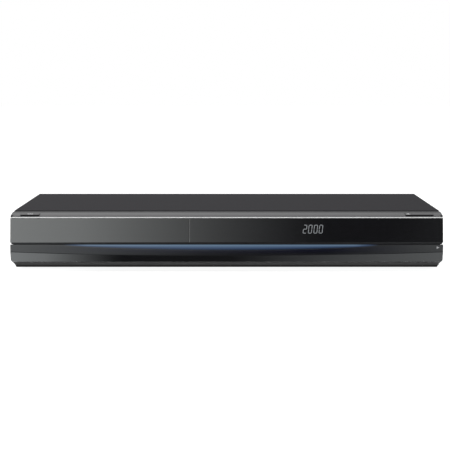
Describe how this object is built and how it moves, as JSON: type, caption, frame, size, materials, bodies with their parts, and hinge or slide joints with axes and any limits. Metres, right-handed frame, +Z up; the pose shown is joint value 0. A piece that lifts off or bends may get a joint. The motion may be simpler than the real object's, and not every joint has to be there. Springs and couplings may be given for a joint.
{
  "type": "dvd recorder",
  "caption": "Full-width disc and hard-disk recorder with a sliding tray, a fold-down front flap, top buttons and rear sockets.",
  "frame": {"origin": "under the middle of the whole object, on the surface it stands on", "axes": "+X right seen from the front, +Y to the back, +Z up; the front faces -Y"},
  "size_m": [0.43, 0.295, 0.059],
  "materials": {
    "cover_steel": "fine satin dark grey paint",
    "chassis_steel": "zinc plated sheet",
    "frame_plastic": "satin dark grey moulding",
    "panel_gloss": "black piano gloss",
    "trim_silver": "satin chrome",
    "light_guide": "clear blue-lit",
    "black_plastic": "fine grain",
    "grey_plastic": "moulded",
    "white_plastic": "moulded",
    "circuit_green": "solder resist",
    "parts_mixed": "moulded parts",
    "aluminium": "cast and machined",
    "polished_steel": "ground",
    "rubber": "soft",
    "lens_glass": "coated",
    "display_glass": "dark display",
    "screw_steel": "black zinc"
  },
  "bodies": {
    "case": {"top_cover": "cover_steel", "bottom_chassis": "chassis_steel", "rear_panel": "chassis_steel", "front_frame": "frame_plastic", "silver_trim": "trim_silver", "display_window": "panel_gloss", "flap_hinge_pins": "polished_steel", "switch_brackets": "grey_plastic", "front_board": "circuit_green", "display_module": "display_glass", "remote_sensor": "black_plastic", "front_data_sockets": "polished_steel", "front_round_sockets": "black_plastic", "drive_base": "black_plastic", "drive_cover": "chassis_steel", "clamp_bridge": "chassis_steel", "spindle_motor": "chassis_steel", "traverse_plate": "chassis_steel", "traverse_bushes": "rubber", "guide_rods": "polished_steel", "sled_motor": "chassis_steel", "loading_motor": "chassis_steel", "loading_belt": "rubber", "drive_board": "circuit_green", "hard_drive_body": "aluminium", "hard_drive_cover": "chassis_steel", "hard_drive_bracket": "chassis_steel", "power_board": "circuit_green", "power_components": "parts_mixed", "heat_sinks": "aluminium", "main_board": "circuit_green", "main_components": "parts_mixed", "tuner_can": "chassis_steel", "aerial_sockets": "polished_steel", "rear_block_sockets": "black_plastic", "component_sockets": "black_plastic", "rear_digital_sockets": "black_plastic", "mains_inlet": "black_plastic", "fan_frame": "black_plastic", "ribbon_cables": "white_plastic", "cover_screws": "screw_steel", "feet": "black_plastic", "foot_pads": "rubber"},
    "tray": {"disc_tray": "black_plastic", "tray_front": "panel_gloss"},
    "flap": {"flap_door": "panel_gloss", "flap_light_guide": "light_guide"},
    "power_button": {"power_button": "black_plastic"},
    "open_close_button": {"open_close_button": "black_plastic"},
    "stop_key": {"stop_key": "grey_plastic"},
    "record_key": {"record_key": "grey_plastic"},
    "play_key": {"play_key": "grey_plastic"},
    "turntable": {"turntable": "grey_plastic"},
    "clamper": {"disc_clamper": "white_plastic"},
    "pickup": {"optical_pickup": "aluminium", "pickup_lens": "lens_glass"},
    "lead_screw": {"lead_screw": "polished_steel"},
    "loading_gear": {"loading_gear": "white_plastic"},
    "motor_pulley": {"motor_pulley": "white_plastic"},
    "fan_rotor": {"fan_rotor": "black_plastic"}
  },
  "joints": [
    {"name": "tray_slide", "type": "slide", "parent": "case", "child": "tray", "axis": [0, -1, 0], "range_m": [0, 0.14]},
    {"name": "flap_hinge", "type": "hinge", "parent": "case", "child": "flap", "pos_m": [0, -0.1405, 0.0137], "axis": [1, 0, 0], "range_deg": [0, 90]},
    {"name": "power_button_press", "type": "slide", "parent": "case", "child": "power_button", "axis": [0, 0, -1], "range_m": [0, 0.0008], "stiffness_N_per_m": 400},
    {"name": "open_close_button_press", "type": "slide", "parent": "case", "child": "open_close_button", "axis": [0, 0, -1], "range_m": [0, 0.0008], "stiffness_N_per_m": 400},
    {"name": "stop_key_press", "type": "slide", "parent": "case", "child": "stop_key", "axis": [0, 1, 0], "range_m": [0, 0.0006], "stiffness_N_per_m": 400},
    {"name": "record_key_press", "type": "slide", "parent": "case", "child": "record_key", "axis": [0, 1, 0], "range_m": [0, 0.0006], "stiffness_N_per_m": 400},
    {"name": "play_key_press", "type": "slide", "parent": "case", "child": "play_key", "axis": [0, 1, 0], "range_m": [0, 0.0006], "stiffness_N_per_m": 400},
    {"name": "turntable_spin", "type": "hinge", "parent": "case", "child": "turntable", "pos_m": [-0.126, -0.0575, 0.039], "axis": [0, 0, 1], "continuous": true},
    {"name": "clamper_spin", "type": "hinge", "parent": "case", "child": "clamper", "pos_m": [-0.126, -0.0575, 0.047], "axis": [0, 0, 1], "continuous": true},
    {"name": "pickup_slide", "type": "slide", "parent": "case", "child": "pickup", "axis": [0, 1, 0], "range_m": [0, 0.034]},
    {"name": "lead_screw_spin", "type": "hinge", "parent": "case", "child": "lead_screw", "pos_m": [-0.096, -0.0075, 0.031], "axis": [0, 1, 0], "continuous": true},
    {"name": "loading_gear_spin", "type": "hinge", "parent": "case", "child": "loading_gear", "pos_m": [-0.177, -0.1135, 0.03], "axis": [0, 0, 1], "continuous": true},
    {"name": "motor_pulley_spin", "type": "hinge", "parent": "case", "child": "motor_pulley", "pos_m": [-0.139, -0.1135, 0.03], "axis": [0, 0, 1], "continuous": true},
    {"name": "fan_spin", "type": "hinge", "parent": "case", "child": "fan_rotor", "pos_m": [-0.022, 0.1315, 0.032], "axis": [0, 1, 0], "continuous": true}
  ],
  "couplings": [
    {"joint": "loading_gear_spin", "follows": "tray_slide", "rad_per_m": 125},
    {"joint": "motor_pulley_spin", "follows": "tray_slide", "rad_per_m": 428.03},
    {"joint": "lead_screw_spin", "follows": "pickup_slide", "rad_per_m": 2094.4},
    {"joint": "clamper_spin", "follows": "turntable_spin", "ratio": 1}
  ]
}
